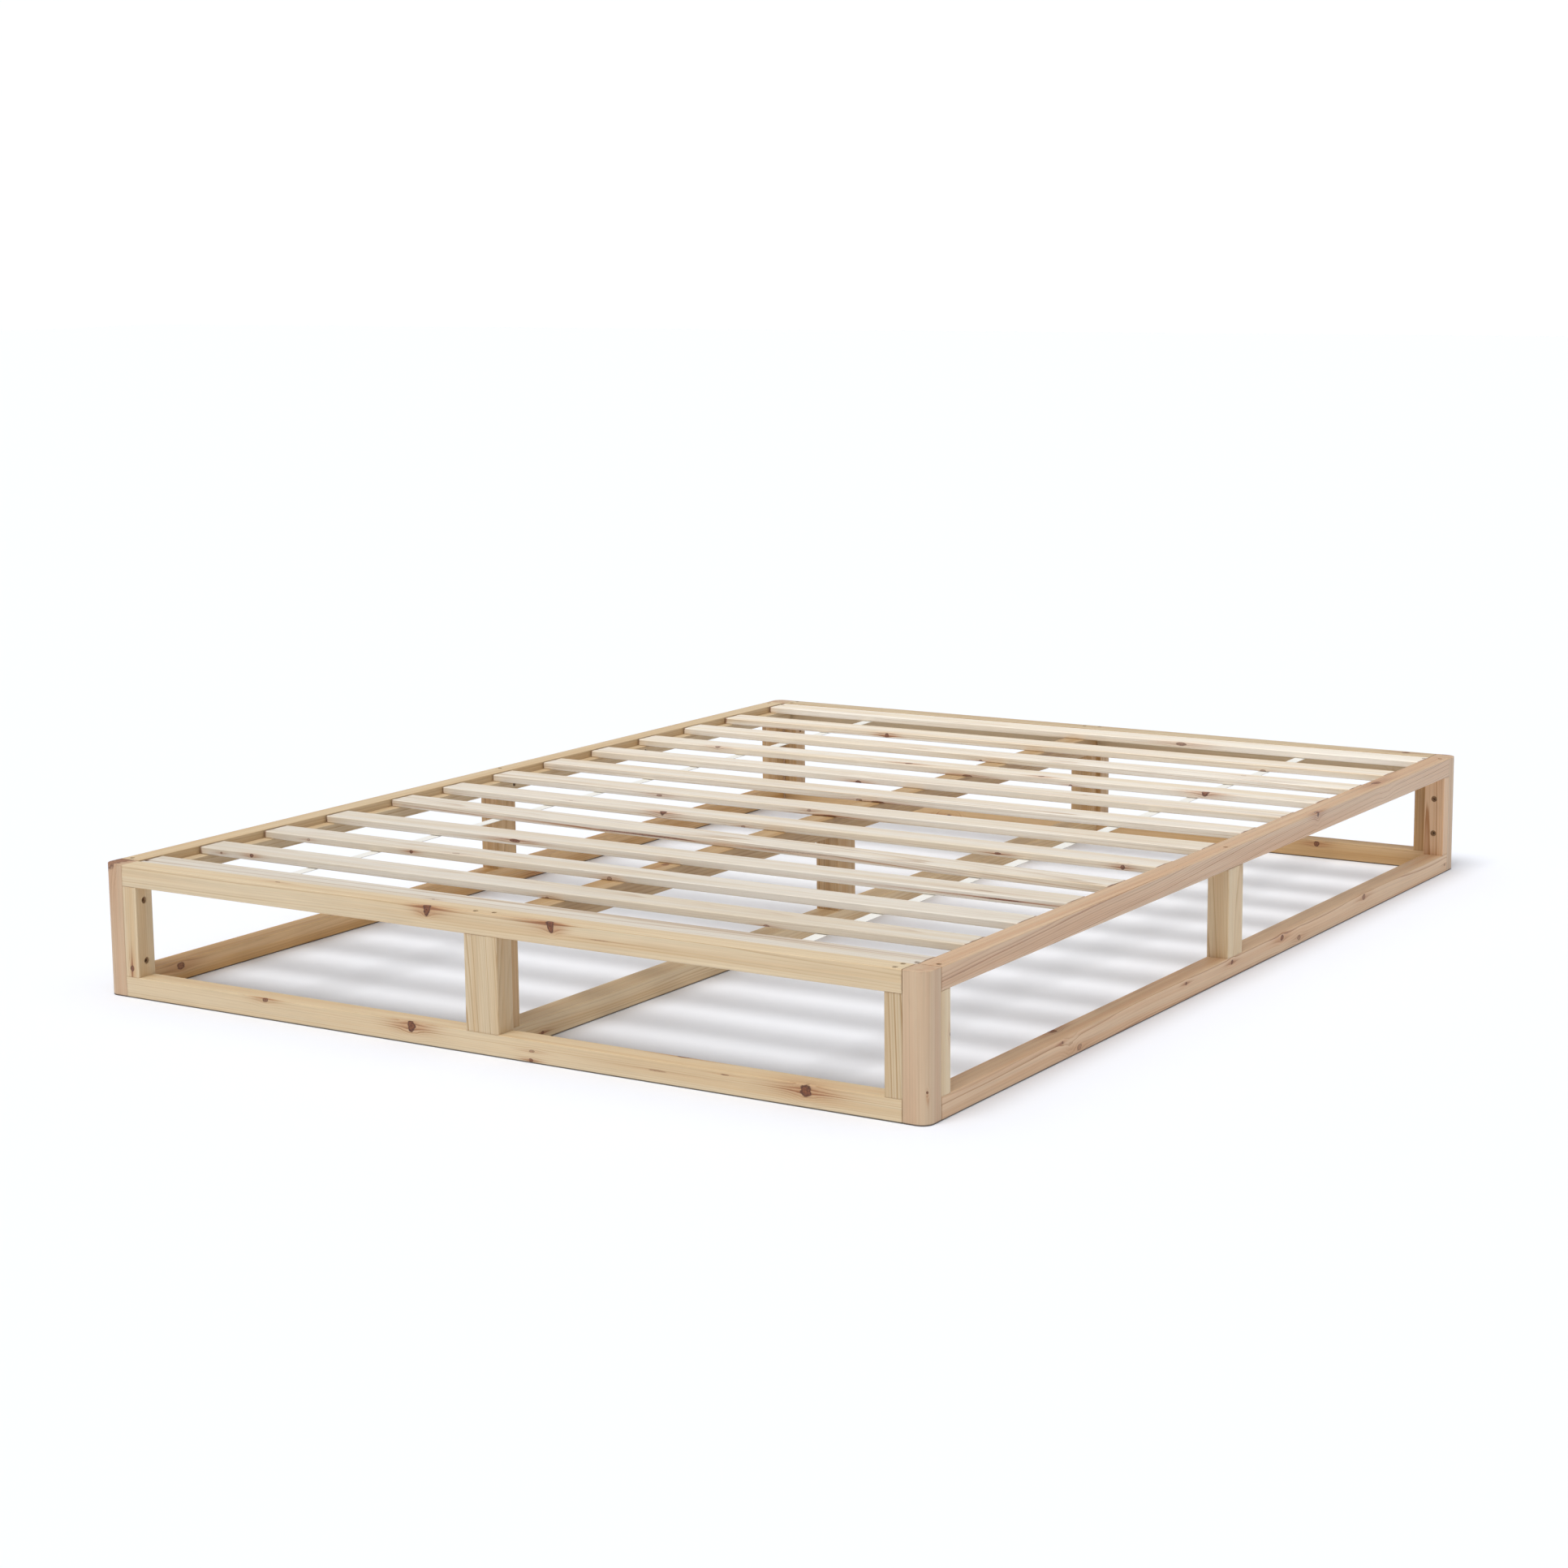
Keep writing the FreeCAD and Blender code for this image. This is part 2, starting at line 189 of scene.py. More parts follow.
def read_knots(plain, knots, middle, back, seed):
    """The place with the grain pushed aside by a board's knots, and where their solid cores, bark
    rims, inner rings and warm glows show."""
    place = plain
    cores, rims, circles, glows = [], [], [], []
    for spot, radius, branch, dark, long, taper in knots:
        away = plain.vector("SUBTRACT", back @ (spot - middle))
        branch = back @ branch
        wide = radius
        if taper:
            out = away.vector("DOT_PRODUCT", branch, 1)
            wide = radius * (1 + out * taper).math("MAXIMUM", PITH_LEAST)
        near = away.vector("MULTIPLY", (1 / long, 1, 1)).vector("CROSS_PRODUCT", branch)
        near = near.vector("LENGTH", output=1) / wide
        near = near + (plain.noise((130 / long, 150, 150), seed + long, 2.0) - 0.5) * 0.9
        far = away.vector("MULTIPLY", (GLOW_NEAR / long, 1, 1)).vector("CROSS_PRODUCT", branch)
        far = far.vector("LENGTH", output=1) / wide
        push = away.vector("MULTIPLY", (0, 1, 1)).vector("SCALE", near.bell(PUSH_REACH) * PUSH)
        place = place.vector("SUBTRACT", push)
        core = (1 - near.rise(0.80, 1.06)) * dark
        cores.append(core)
        rims.append((near - RIM_AT).bell(RIM_WIDE) * (dark * min(0.8, 2.5 / long)))
        circles.append(((near * CIRCLES).math("SINE") * 0.35 + 0.5) * core)
        glows.append(far.bell(1.2) * dark)
    return [place] + [strongest(masks) for masks in (cores, rims, circles, glows)]


WANDER_ACROSS, WANDER_DEEP = 0.012, 0.007   # how far the rings stray over a long stretch
RIPPLE = 0.0016             # and over a short one


def growth_rings(place, heart, drift, ring, wave, seed):
    """The line that ends each year's growth, and how dark the late wood before it is, which
    differs from year to year and from place to place."""
    wander = place.noise((1.5, 8, 8), seed + 3.1, 1.0) - 0.5
    ripple = place.noise((5, 50, 50), seed + 5.2, 2.0) - 0.5
    along, across, deep = place.parts()
    across = across - heart[0] - along * drift[0]
    across = across + wander * (WANDER_ACROSS * wave) + ripple * (RIPPLE * wave)
    deep = deep - heart[1] - along * drift[1] + wander * (WANDER_DEEP * wave)
    reach = (across ** 2 + deep ** 2).math("SQRT")
    years = reach / ring + place.noise((0.3, 55, 55), seed + 7.7, 2.0) * 2.2
    year = years.math("FRACT")
    line = year ** 3.0 * (1 - year.rise(0.86, 1.0))
    luck = years.node("ShaderNodeTexWhiteNoise", {"noise_dimensions": "1D"}, {"W": years.math("FLOOR")})
    late = line * (luck ** 2 * 1.6 + 0.25)
    return line, late * (place.noise((2.5, 40, 40), seed + 11.3, 1.0) * 1.1 + 0.45)


# A board's own x runs along its grain: how it is turned for each way that a board can lie.
GRAIN_TURN = ((0, 0, 0), (0, 0, math.pi / 2), (0, -math.pi / 2, 0))
KNOT_HEART = paint("83451f")
KNOT_DARK = paint("47220f")
KNOT_BARK = paint("3a1b0c")
KNOT_GLOW = paint("b5763f")
CONTACT_SHADE_FULL, CONTACT_SHADE_GONE = 0.0016, 0.0028     # heights over the floor between which the painted contact shadow fades
END_DARK_DEEP = 0.0035        # how far the darker reddish tone reaches in from a board's end
END_DARK_UNEVEN = 0.009       # how much deeper it goes in one blotch of the wood than in another
GRAIN_HIGH = 0.0004         # height of the planed grain


def pine(name, stock, heart, ring, bold, seed, knots=(), turn=0.0, drift=(0, 0), wave=1.0, tint=0.0,
         light=1.0, sheen=0.5, end_dark=0.15):
    """Bare pine for one board, its grain along the board's longest side.

    heart is how far the middle of the tree lies from the board's middle, across the board's two
    short sides, and drift how fast it leaves the board's line. ring is the width of one year's
    growth, bold how strongly the rings show, wave how much they wander, tint how much of the
    warm colour lies under everything, light how pale the whole board is, which on the slats also
    carries painted sheen and on the centre beam and middle post painted shade, sheen how smoothly it
    was planed, and end_dark how dark and reddish its ends are."""
    early_colour, late_colour, warm_colour = stock
    low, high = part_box(name)
    size = high - low
    middle = (low + high) / 2
    longest = list(size).index(max(size))
    turned = Euler(GRAIN_TURN[longest])
    turned.rotate(Euler((0, 0, turn)))
    back = turned.to_matrix().transposed()
    material, shader, anywhere = start_finish("pine_" + name)
    plain = anywhere.node("ShaderNodeMapping", {"vector_type": "TEXTURE"},
                          {"Vector": anywhere, "Location": middle, "Rotation": turned})
    place = plain
    if knots:
        place, core, rim, circle, glow = read_knots(plain, knots, middle, back, seed)
    line, late = growth_rings(place, heart, drift, ring, wave, seed)
    late = late * bold
    if knots:
        late = late * (1 + glow * 2.5) + line * glow * 0.7

    # Broad bands and fine streaks of colour, dark hairlines, blotches, fibres and resin ducts.
    bands = plain.noise((1.3, 55, 55), seed + 13.9, 3.0, 0.55)
    streaks = plain.noise((4.0, 380, 380), seed + 17.4, 2.0)
    hairs = plain.noise((2.6, 1150, 1150), seed + 31.6, 1.0).rise(0.56, 0.72)
    mottle = plain.noise((16, 75, 75), seed + 27.2, 2.0)
    fibres = plain.noise((45, 2600, 2600), seed + 19.8, 2.0)
    ducts = plain.noise((30, 1500, 1500), seed + 23.5, 1.0).rise(0.68, 0.80)
    tone = (bands.rise(0.36, 0.68) * 0.85 + tint).blend(early_colour, warm_colour)
    tone = late.blend(tone, late_colour)
    bright = 0.80 + streaks * 0.15 + (fibres - 0.5) * 0.10 + bands * 0.12 + mottle * 0.09
    bright = bright * (1 - ducts * 0.15) * (1 - hairs * 0.11) * light
    rough = 0.57 - sheen * 0.14 + (fibres - 0.5) * 0.16 - late * 0.10
    height = late * 0.30 + fibres * 0.45 + streaks * 0.25 - ducts * 0.5 - hairs * 0.3

    # Knots: a reddish core with darker rings, a drying crack, and broken bark round it.
    if knots:
        patch = plain.noise((420, 420, 420), seed + 41.0, 3.0, 0.6)
        crack = (plain.noise((210, 260, 260), seed + 37.0, 2.0) - 0.5).bell(0.022) * core
        rim = rim * patch.rise(0.20, 0.42)
        tone = (glow * (patch * 0.5 + 0.35)).blend(tone, KNOT_GLOW)
        tone = (late * glow * 0.75).math("MINIMUM", 0.6).blend(tone, KNOT_HEART)
        tone = (core * 0.92).blend(tone, KNOT_HEART)
        tone = (circle * patch.rise(0.40, 0.62) * 0.85).blend(tone, KNOT_DARK)
        tone = (rim.math("MAXIMUM", crack) * 0.85).blend(tone, KNOT_BARK)
        rough = rough + core * 0.16
        height = height - rim * 0.8 - crack * 0.9 + circle * 0.4

    # Painted contact shadow along the foot of what stands on the floor, and a darker reddish tone
    # towards each board's ends.
    if low.z < CONTACT_SHADE_GONE:
        # darkens the wood just above the floor: painted contact shadow
        contact_shade = 1 - anywhere.parts()[2].rise(CONTACT_SHADE_FULL, CONTACT_SHADE_GONE)
        bright = bright * (1 - contact_shade * 0.8)
    end_gap = size[longest] / 2 - plain.parts()[0].math("ABSOLUTE")
    away_from_end = (end_gap + (mottle - 0.45) * END_DARK_UNEVEN).rise(0.0, END_DARK_DEEP)
    # each board turns darker and redder towards its ends
    tone = ((1 - away_from_end) * end_dark).blend(tone, KNOT_HEART)

    tone.vector("SCALE", bright).feed(shader, "Base Color")
    rough.feed(shader, "Roughness")
    height.bump(0.4, GRAIN_HIGH).feed(shader, "Normal")
    shader.inputs["Specular IOR Level"].default_value = 0.5 + sheen * 0.4
    nodes[name].material_slots[0].material = material


LEFT, FRONT = cad_low.x, cad_low.y
RIGHT, BACK, TOP = cad_high
# Each stock's colours: the wood grown early in the year, the late wood, and its warmer bands.
POST_PINE = (paint("d3b897"), paint("b58f6b"), paint("c6a17f"))
# A pin knot on the round of one post, a little above the bottom rails.
post_knot = knot((0.7504, FRONT, 0.0486), 0.0016, (-0.526, 0.832, -0.174), 0.85)
pine("corner_post_front_right", POST_PINE, (0.075, 0.060), 0.0023, 0.28, 1.0, [post_knot], wave=0.7)
pine("corner_post_front_left", POST_PINE, (-0.070, 0.030), 0.0024, 0.3, 2.0,
     [knot((-0.742, FRONT, 0.219), 0.017, (0.2, 1, 0.1), 0.6, 1.0)])
pine("corner_post_back_right", POST_PINE, (0.050, -0.045), 0.0022, 0.55, 3.0,
     [knot((0.727, BACK, TOP), 0.006, (0.1, 0.2, 1), 0.7)])
pine("corner_post_back_left", POST_PINE, (0.050, 0.045), 0.0025, 0.5, 4.0)

# ---- End frames ----
# Each end is a ladder of pine: a top rail and a bottom rail with two stiles and a wide middle post
# between them, glued and screwed. The front rails are straight-grained with a few red knots.

RAIL_PINE = (paint("dfcaa7"), paint("b8925f"), paint("d3b68c"))
LOW_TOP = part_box("front_bottom_rail")[1].z
END_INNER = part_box("back_bottom_rail")[0].y
pine("front_top_rail", RAIL_PINE, (0.080, 0.045), 0.0021, 0.65, 10.0, wave=0.6, knots=[
    knot((-0.097, FRONT, 0.210), 0.0062, (0.12, -0.30, 1), 1.0, 1.1, 36.0),
    knot((0.128, FRONT, 0.210), 0.0064, (-0.18, -0.30, 1), 1.0, 1.1, 36.0),
    knot((-0.405, -0.978, TOP), 0.0022, (0.1, 0.2, 1), 0.75, 2.6),
    knot((0.215, FRONT, 0.197), 0.0008, (0.1, -1, 0.3), 0.35, 22.0)])
pine("front_bottom_rail", RAIL_PINE, (-0.060, 0.045), 0.0023, 0.6, 11.0, wave=0.8, knots=[
    knot((-0.133, FRONT, 0.0270), 0.0070, (0.1, -1, 0.75), 1.0, 1.15),
    knot((0.558, FRONT, 0.0245), 0.0092, (0.1, -1, 0.15), 1.0, 1.1),
    knot((0.088, FRONT, 0.0045), 0.0026, (0.1, -1, -0.3), 0.8, 1.5),
    knot((0.090, FRONT, 0.0180), 0.0020, (0.3, -1, 0.5), 0.5, 2.5),
    knot((-0.420, FRONT, 0.0325), 0.0030, (0.1, -0.6, 0.8), 0.75, 1.8),
    knot((0.310, FRONT, 0.0190), 0.0014, (0.1, -1, 0.1), 0.45, 12.0),
    knot((0.335, -0.964, LOW_TOP), 0.0036, (0.1, 0.4, 1), 0.95, 3.6),
    knot((0.425, FRONT, 0.0290), 0.0008, (0.1, -1, 0.2), 0.7, 8.0)])
pine("front_left_stile", RAIL_PINE, (0.045, 0.050), 0.0026, 0.75, 12.0, tint=0.15, knots=[
    knot((-0.697, FRONT, 0.0480), 0.0042, (0.1, -1, 0.1), 0.9)])
pine("front_right_stile", RAIL_PINE, (0.016, 0.050), 0.0044, 1.6, 13.0, drift=(0.03, 0.02), tint=0.25,
     light=0.90)
pine("front_mid_post", RAIL_PINE, (0.022, 0.050), 0.0030, 1.1, 14.0, drift=(0.03, 0.04), tint=0.2,
     light=0.95)
# A darker, warmer stock for the boards seen inside the bed: partly the wood's own tone, partly painted
# shade from the rails and slats around them.
INNER_PINE_WITH_SHADE = (paint("d4b284"), paint("a4753f"), paint("be935a"))
pine("back_top_rail", RAIL_PINE, (0.08, 0.035), 0.0024, 0.7, 18.0, light=0.86, knots=[
    knot((0.655, 0.985, TOP), 0.0060, (0.1, 0.2, 1), 0.75, 1.5),
    knot((-0.02, END_INNER, 0.196), 0.0050, (0.1, -1, 0.2), 0.6)])
pine("back_bottom_rail", INNER_PINE_WITH_SHADE, (0.07, -0.03), 0.0024, 0.7, 19.0, knots=[
    knot((0.489, END_INNER, 0.027), 0.0048, (0.1, -1, 0.2), 0.9),
    knot((-0.310, BACK, 0.012), 0.0060, (0.1, 1, 0.2), 0.9)])
pine("back_left_stile", INNER_PINE_WITH_SHADE, (0.05, 0.03), 0.0024, 0.8, 15.0)
pine("back_right_stile", INNER_PINE_WITH_SHADE, (-0.025, 0.045), 0.0029, 1.3, 16.0, wave=0.8, tint=0.4)
pine("back_mid_post", INNER_PINE_WITH_SHADE, (0.01, 0.04), 0.0030, 0.9, 17.0, drift=(0.03, 0.02))

# ---- Side frames ----
# The same ladder in longer lengths down each side. The right one is redder timber, and the rings of
# its top rail are bold and run out at a slant.

SIDE_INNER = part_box("left_bottom_rail")[1].x
RED_PINE = (paint("dabb98"), paint("a97443"), paint("cda177"))
pine("right_top_rail", RED_PINE, (0.050, 0.055), 0.0017, 1.9, 20.0, drift=(0.0, 0.034), wave=0.9,
     sheen=1.0, knots=[
    knot((0.7475, 0.335, 0.212), 0.0045, (0.22, 0.05, 1), 0.95, 1.2, 22.0),
    knot((0.729, 0.650, TOP), 0.0072, (0.25, 0.2, 1), 0.75, 1.7)])
pine("right_bottom_rail", RED_PINE, (0.060, 0.035), 0.0022, 0.9, 21.0, light=1.10, tint=-0.15, knots=[
    knot((RIGHT, -0.605, 0.028), 0.0022, (1, 0.1, 0.2), 0.8),
    knot((RIGHT, -0.550, 0.009), 0.0045, (1, 0.1, 0.2), 0.4, 1.8),
    knot((0.717, -0.575, LOW_TOP), 0.0075, (-0.3, 0.1, 1), 0.8, 1.2),
    knot((RIGHT, -0.184, 0.027), 0.0027, (1, 0.1, 0.3), 0.85),
    knot((RIGHT, -0.011, 0.0255), 0.0036, (1, 0.1, 0.3), 0.95),
    knot((RIGHT, 0.190, 0.0260), 0.0048, (1, 0.1, 0.6), 0.9, 1.3),
    knot((RIGHT, 0.262, 0.0115), 0.0048, (1, 0.1, 0.1), 0.5, 1.5),
    knot((RIGHT, 0.550, 0.0280), 0.0050, (1, 0.1, 0.5), 0.65, 1.4),
    knot((RIGHT, 0.950, 0.0150), 0.0026, (1, 0.1, 0.1), 0.5)])
pine("right_front_stile", RAIL_PINE, (0.05, 0.03), 0.0026, 0.5, 27.0, light=1.05, knots=[
    knot((0.748, -0.9365, 0.116), 0.0030, (0.6, 0.8, 0.1), 0.85)])
pine("right_mid_post", RAIL_PINE, (0.020, 0.035), 0.0030, 0.85, 29.0, drift=(0.03, 0.03), light=1.05)
pine("right_back_stile", RED_PINE, (0.04, 0.02), 0.0030, 1.2, 28.0, light=1.15, tint=0.1)
pine("left_top_rail", RAIL_PINE, (0.05, 0.04), 0.0025, 0.8, 22.0, tint=0.35, knots=[
    knot((LEFT, -0.300, 0.197), 0.0060, (-1, 0.1, 0.2), 0.9),
    knot((LEFT, 0.480, 0.190), 0.0045, (-1, 0.1, 0.1), 0.8)])
pine("left_bottom_rail", INNER_PINE_WITH_SHADE, (0.05, 0.03), 0.0026, 0.9, 23.0, light=1.2, tint=0.2, knots=[
    knot((SIDE_INNER, -0.874, 0.0246), 0.0062, (1, 0.1, 0.3), 0.8, 1.5),
    knot((SIDE_INNER, -0.330, 0.0200), 0.0045, (1, 0.1, 0.3), 0.6, 1.5),
    knot((LEFT, 0.120, 0.0150), 0.0060, (-1, 0.1, 0.2), 0.9)])
pine("left_front_stile", INNER_PINE_WITH_SHADE, (0.03, 0.03), 0.0027, 0.8, 24.0)
pine("left_mid_post", INNER_PINE_WITH_SHADE, (0.01, 0.035), 0.0030, 0.9, 26.0, drift=(0.02, 0.03))
pine("left_back_stile", INNER_PINE_WITH_SHADE, (0.04, 0.02), 0.0027, 0.8, 25.0)

# ---- Centre frame and ledgers ----
# The fifth ladder runs lengthwise under the slats, bolted to the middle posts of the two ends. The
# ledgers are square battens screwed inside the side rails, and the slats lie on all three.

CENTRE_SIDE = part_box("centre_bottom_rail")[1].x
# light 0.80 darkens the beam: painted shade from the slats over it
pine("centre_top_beam", INNER_PINE_WITH_SHADE, (0.05, 0.03), 0.0026, 0.9, 30.0, light=0.80, knots=[
    knot((0.0, -0.52, 0.2005), 0.006, (0.1, 0.1, 1), 0.7)])
pine("centre_bottom_rail", RAIL_PINE, (0.045, 0.04), 0.0026, 1.1, 31.0, tint=0.3, light=1.10, knots=[
    knot((CENTRE_SIDE, -0.883, 0.0110), 0.0028, (1, 0.1, 0.2), 0.9),
    knot((CENTRE_SIDE, -0.300, 0.0200), 0.0050, (1, 0.1, 0.3), 0.6, 1.5)])
pine("centre_front_stile", INNER_PINE_WITH_SHADE, (0.04, 0.01), 0.0025, 0.8, 32.0)
# light 0.9 darkens the middle post: painted shade from the slats over it
pine("centre_mid_post", INNER_PINE_WITH_SHADE, (0.01, 0.035), 0.0028, 1.0, 34.0, light=0.9)
pine("centre_back_stile", INNER_PINE_WITH_SHADE, (0.04, 0.01), 0.0025, 0.8, 33.0)
pine("left_ledger", RAIL_PINE, (0.03, 0.02), 0.0026, 0.8, 35.0, tint=0.3, light=0.9)
pine("right_ledger", RAIL_PINE, (0.04, 0.01), 0.0025, 0.8, 36.0, tint=0.3, light=0.9)

# ---- Slats ----
# Thirteen flat slats of paler pine with eased edges. The first and last are screwed down against
# the end rails, and the others lie loose, so that some have settled a little askew.

SLAT_PINE = (paint("e9e0d1"), paint("b48f66"), paint("dccbb0"))
SLAT_LONG, SLAT_WIDE = 1.420, 0.057
SHEEN_PAINT_FIRST, SHEEN_PAINT_STEP = 0.90, 0.024       # painted sheen: the slats get paler from the front to the back, for the brighter grazing reflection on the far ones
EDGE_BRANCH = (0.1, -1, 0.35)               # a knot on the front edge runs straight back
TOP_BRANCH = (0.1, -0.5, 1)                 # a knot on the top runs down and back
# Knots of each slat: millimetres from its left end, behind its front edge and below its top,
# then radius, darkness and length along the grain.
SLAT_KNOTS = {
    1: [(588, 10, 0, 2.2, 0.6, 1.3)],
    2: [(45, 0, 6, 1.8, 0.6, 1.4), (110, 0, 4, 3.2, 0.9, 1.2), (700, 0, 11, 2.6, 0.6, 1.5),
        (1092, 0, 11, 2.6, 0.6, 2.0)],
    3: [(312, 0, 5, 3.0, 0.9, 1.2), (95, 0, 6, 2.4, 0.4, 1.5), (400, 6, 0, 4.0, 0.3, 2.0),
        (705, 0, 9, 3.2, 0.6, 1.5)],
    4: [(403, 0, 4.5, 2.6, 0.9, 4.0), (1312, 0, 6.5, 1.3, 0.9, 32.0), (1270, 16, 0, 3.0, 0.3, 6.0)],
    5: [(555, 0, 8, 1.5, 0.75, 70.0), (850, 0, 6, 1.2, 0.35, 60.0)],
    6: [(483, 1, 0, 4.2, 0.95, 1.6), (280, 8, 0, 2.5, 0.35, 2.0), (1138, 0, 7, 2.0, 0.85, 3.0),
        (1360, 0, 6.5, 3.8, 0.9, 1.1), (648, 0, 10, 2.2, 0.5, 2.0)],
    7: [(370, 0, 5.5, 2.2, 0.6, 3.0), (683, 0, 4, 2.2, 0.5, 2.0), (725, 0, 11, 2.6, 0.8, 6.0)],
    8: [(690, 0, 10, 2.2, 0.6, 3.0), (728, 0, 11, 2.4, 0.85, 6.0)],
    9: [(595, 0, 11, 4.0, 0.95, 1.6), (1040, 30, 0, 3.0, 0.3, 2.0)],
    10: [(185, 3, 0, 4.5, 0.55, 1.4), (605, 11, 0, 5.4, 0.9, 1.5), (885, 6, 0, 4.6, 0.9, 1.3),
         (1212, 2, 0, 5.6, 0.95, 1.4), (735, 0, 11, 2.6, 0.8, 4.0), (947, 0, 11, 2.6, 0.7, 1.6)],
    11: [(678, 0, 11, 2.6, 0.7, 1.5), (1200, 38, 0, 4.0, 0.3, 1.5)],
    12: [(382, 0, 6, 4.0, 0.9, 1.3), (1185, 0, 11, 2.6, 0.5, 2.0)],
    13: [(940, 0, 4, 3.4, 0.6, 3.5)],
}
draw = random.Random(5)
slat_middles = []
for number, found in SLAT_KNOTS.items():
    name = "slat_%02d" % number
    low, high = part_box(name)
    lean = (high.y - low.y - SLAT_WIDE) / SLAT_LONG
    middle = (low + high) / 2
    slat_middles.append((middle.y, lean))
    knots = []
    for from_left, behind, below, radius, dark, long in found:
        x = from_left / 1000 - SLAT_LONG / 2
        y = middle.y - SLAT_WIDE / 2 + behind / 1000 - lean * x
        z = high.z - below / 1000
        branch = EDGE_BRANCH if below else TOP_BRANCH
        knots.append(knot((x, y, z), radius / 1000, branch, dark, long))
    side = draw.choice((-1, 1))
    heart = (draw.uniform(-0.02, 0.02), side * draw.uniform(0.03, 0.06))
    # Each slat is made paler than the one before it: painted sheen.
    pine(name, SLAT_PINE, heart, draw.uniform(0.0022, 0.0034), draw.uniform(0.35, 0.7), 40.0 + number,
         knots, -math.asin(lean), (draw.uniform(-0.012, 0.012), side * draw.uniform(0.0, 0.02)),
         light=SHEEN_PAINT_FIRST + SHEEN_PAINT_STEP * number, sheen=1.0, end_dark=0.75)

# ---- Tapes ----
# Two white woven tapes run the length of the bed under the slats and hold them at their spacing.
# Each is one flat strip, stapled to every slat, that hangs a hair lower between them.

TAPE_THICK = 0.0008
TAPE_SAG = 0.0012           # between one slat and the next
TAPE_DROOP = 0.00015        # of its two edges
WARP_PITCH, WEFT_PITCH = 0.0016, 0.0013
THREAD_HIGH = 0.0003
CLOTH_WHITE = paint("f3f1ea")[:3]
weave, weave_shader, place = start_finish("woven_tape")
x, y = place.parts()[:2]
warp = (x * (math.tau / WARP_PITCH)).math("SINE")
weft = (y * (math.tau / WEFT_PITCH)).math("SINE")
crossing = (warp * weft) * 0.5 + 0.5
fluff = place.noise((1800, 1800, 1800), 3.0, 3.0)
soil = place.noise((30, 9, 30), 5.0, 3.0)
thread = crossing * 0.16 + fluff * 0.12 + soil * 0.10 + 0.72
cloth = thread.node("ShaderNodeVectorMath", {"operation": "SCALE"}, {0: CLOTH_WHITE, "Scale": thread})
cloth.feed(weave_shader, "Base Color")
(0.86 + fluff * 0.1).feed(weave_shader, "Roughness")
(crossing * 0.8 + fluff * 0.4).bump(0.7, THREAD_HIGH).feed(weave_shader, "Normal")
weave_shader.inputs["Specular IOR Level"].default_value = 0.2
weave_shader.inputs["Sheen Weight"].default_value = 0.15

for side in ("left", "right"):
    low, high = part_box(side + "_tape")
    middle = (low + high) / 2
    bpy.ops.object.select_all(action="DESELECT")
    bpy.ops.mesh.primitive_grid_add(x_subdivisions=6, y_subdivisions=420, size=1)
    tape = bpy.context.object
    tape.name = side + "_tape_weave"
    tape.data.transform(Matrix.LocRotScale(middle, None, (high.x - low.x, high.y - low.y, 1)))
    # The slats hold the tape where it crosses their middles, and it sags between them.
    held = sorted(y - lean * middle.x for y, lean in slat_middles)
    for point in tape.data.vertices:
        for before, after in zip(held, held[1:]):
            share = (point.co.y - before) / (after - before)
            if 0 < share < 1:
                point.co.z -= TAPE_SAG * math.sin(math.pi * share) ** 2
        edge = abs(point.co.x - middle.x) / (high.x - low.x) * 2
        point.co.z -= TAPE_DROOP * edge ** 4
    thick = tape.modifiers.new("thick", "SOLIDIFY")
    thick.thickness = TAPE_THICK
    thick.offset = 0
    bpy.ops.object.modifier_apply(modifier="thick")
    bpy.ops.object.shade_smooth_by_angle(angle=math.radians(40))
    tape.data.materials.append(weave)
    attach(tape, "root")
    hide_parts(side + "_tape")

# ---- Bolts, screws and staples ----
# Yellow-passivated socket bolts run through the stiles into insert nuts, zinc-plated countersunk
# screws hold the ladders together, and galvanised staples hold the tapes.

SCRATCH_HIGH = 0.0002


def metal(name, dull, bright, rough, plated, seed):
    """Plated steel: cloudy plating with fine turning scratches."""
    material, shader, place = start_finish(name)
    cloud = place.noise((260, 260, 260), seed, 4.0)
    scratch = place.noise((2600, 2600, 900), seed + 4, 2.0)
    tone = cloud.rise(0.3, 0.7).blend(paint(dull), paint(bright))
    tone.vector("SCALE", scratch * 0.3 + 0.82).feed(shader, "Base Color")
    (rough + (cloud - 0.5) * 0.25 + (scratch - 0.5) * 0.15).feed(shader, "Roughness")
    scratch.bump(0.25, SCRATCH_HIGH).feed(shader, "Normal")
    shader.inputs["Metallic"].default_value = plated
    return material


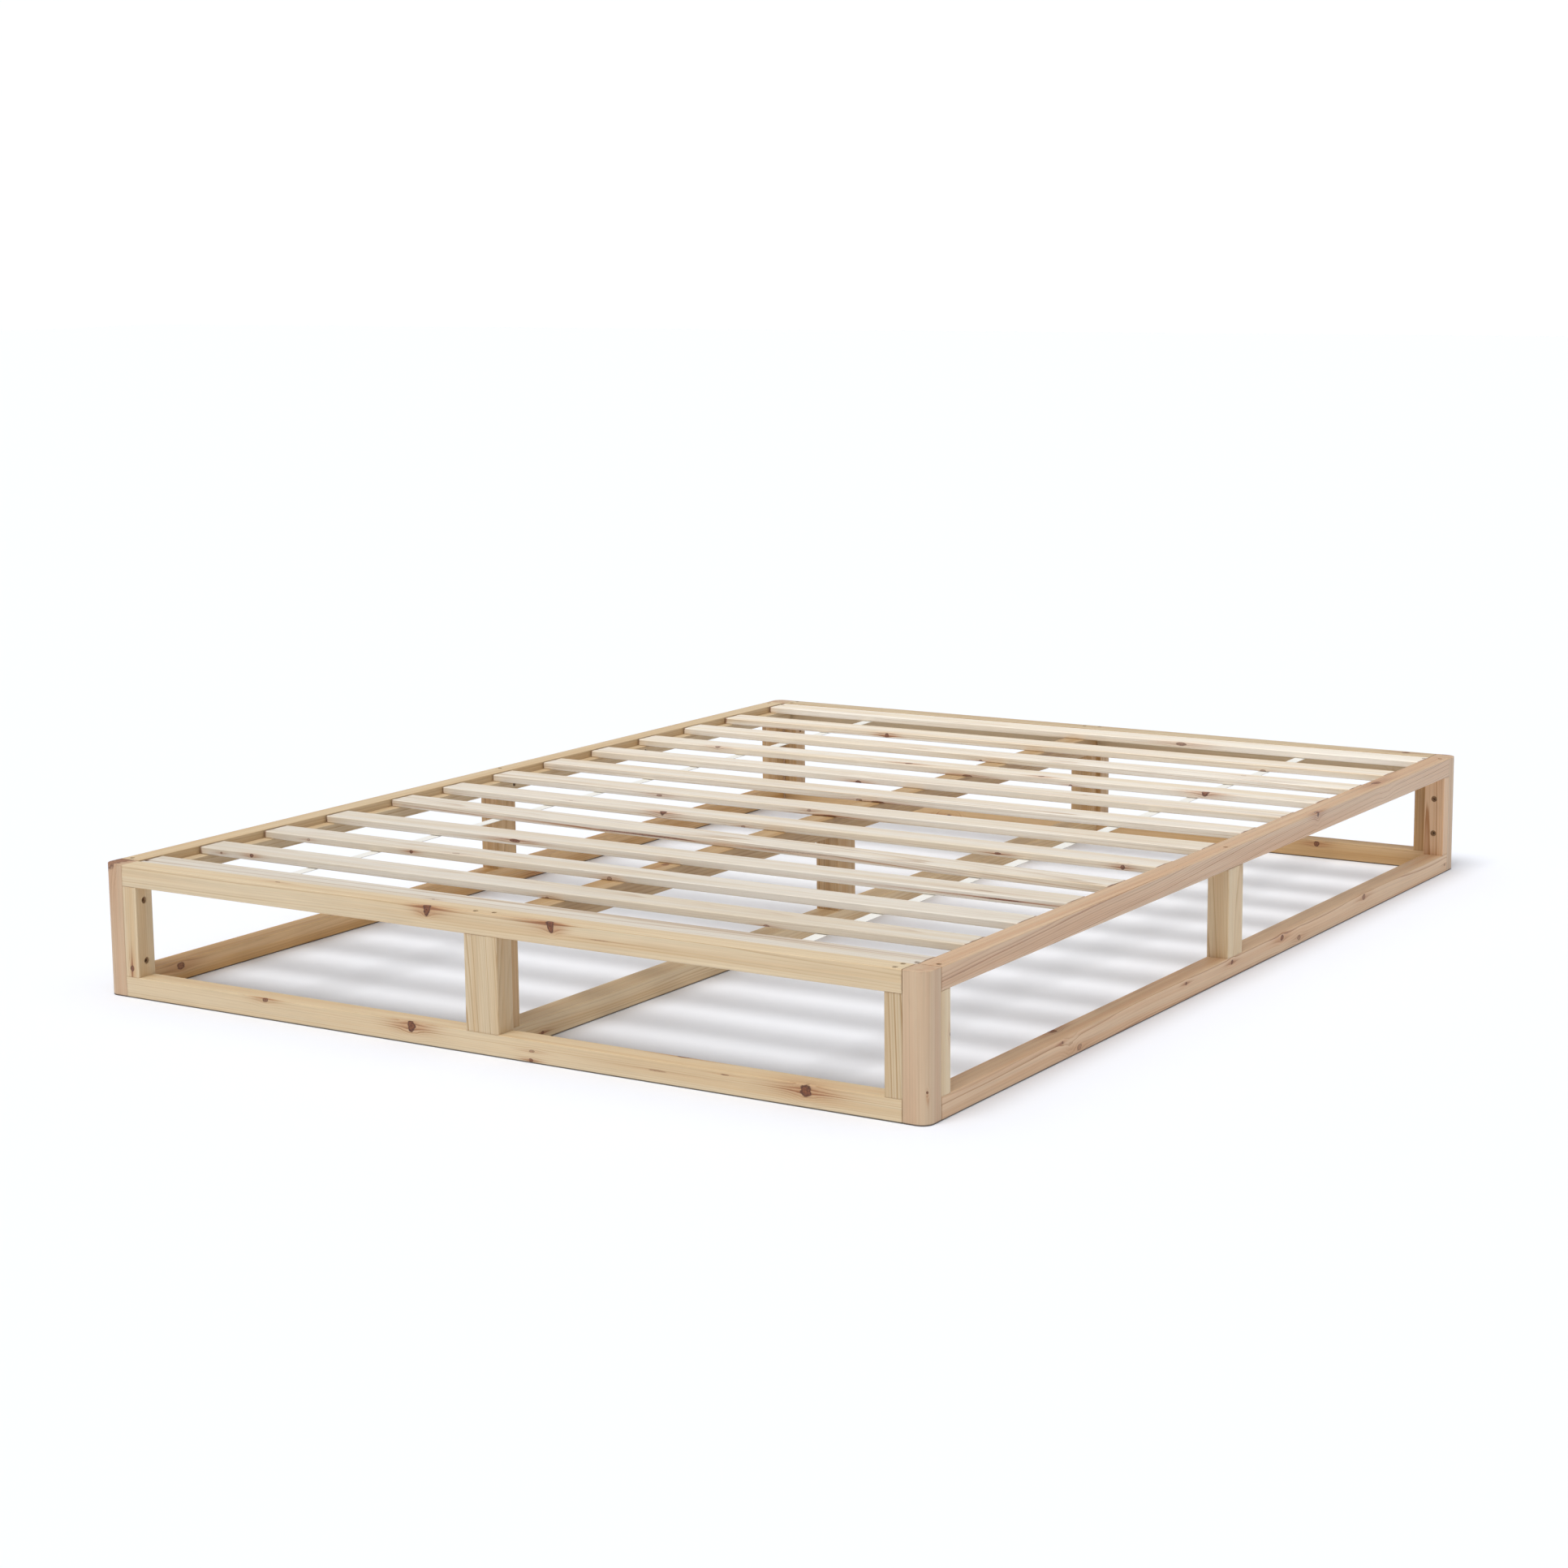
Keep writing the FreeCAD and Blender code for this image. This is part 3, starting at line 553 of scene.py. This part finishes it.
yellow = metal("yellow_passivated_steel", "86664a", "ab8a66", 0.55, 0.35, 61.0)
zinc = metal("zinc_plated_steel", "5d4a3d", "8c7a6b", 0.45, 0.7, 62.0)
galvanised = metal("galvanised_wire", "8c8b88", "b5b4b0", 0.45, 1.0, 63.0)
for name in ("end_frame_bolts", "side_frame_bolts", "centre_frame_bolts", "insert_nuts"):
    nodes[name].material_slots[0].material = yellow
for name in ("top_rail_screws", "bottom_rail_screws", "centre_frame_screws", "ledger_screws",
             "end_slat_screws"):
    nodes[name].material_slots[0].material = zinc
nodes["tape_staples"].material_slots[0].material = galvanised

# ---- Floor, light and camera ----
# A plain white floor under a sky that is white at the horizon and has a broad soft glow overhead,
# with one high soft light from the front.

FLOOR_ACROSS = 60
bpy.ops.object.select_all(action="DESELECT")
bpy.ops.mesh.primitive_plane_add(size=FLOOR_ACROSS)
floor = bpy.context.object
floor.name = "studio_floor"
floor_finish, floor_shader = start_finish("studio_floor")[:2]
floor_shader.inputs["Base Color"].default_value = (0.866, 0.886, 0.930, 1)
floor_shader.inputs["Roughness"].default_value = 0.9
floor_shader.inputs["Specular IOR Level"].default_value = 0.0
floor.data.materials.append(floor_finish)

world = bpy.data.worlds.new("studio")
bpy.context.scene.world = world
world.use_nodes = True
sky = Shade(world.node_tree)
height = sky.node("ShaderNodeTexCoord").parts()[2]
glow = 1.02 - height.rise(0.075, 0.20) * 0.75 + height.rise(0.50, 0.95) * 0.80
sky_shader = world.node_tree.nodes["Background"]
sky_shader.inputs["Color"].default_value = (0.985, 0.995, 1.02, 1)
glow.feed(sky_shader, "Strength")

sun = bpy.data.lights.new("high_soft_light", "SUN")
sun.energy = 1.68
sun.angle = math.radians(26)
high_light = bpy.data.objects.new("high_soft_light", sun)
bpy.context.scene.collection.objects.link(high_light)
high_light.rotation_euler = Vector((0.04, 0.42, -1)).to_track_quat("-Z", "Y").to_euler()

lens = bpy.data.cameras.new("camera")
lens.lens = 71.107
lens.sensor_width = 36
lens.clip_end = 200
camera = bpy.data.objects.new("camera", lens)
bpy.context.scene.collection.objects.link(camera)
camera.location = (2.7345, -4.4897, 1.1775)
camera.rotation_euler = tuple(map(math.radians, (80.003, 0.566, 32.207)))
bpy.context.scene.camera = camera
bpy.context.scene.view_settings.view_transform = "Standard"
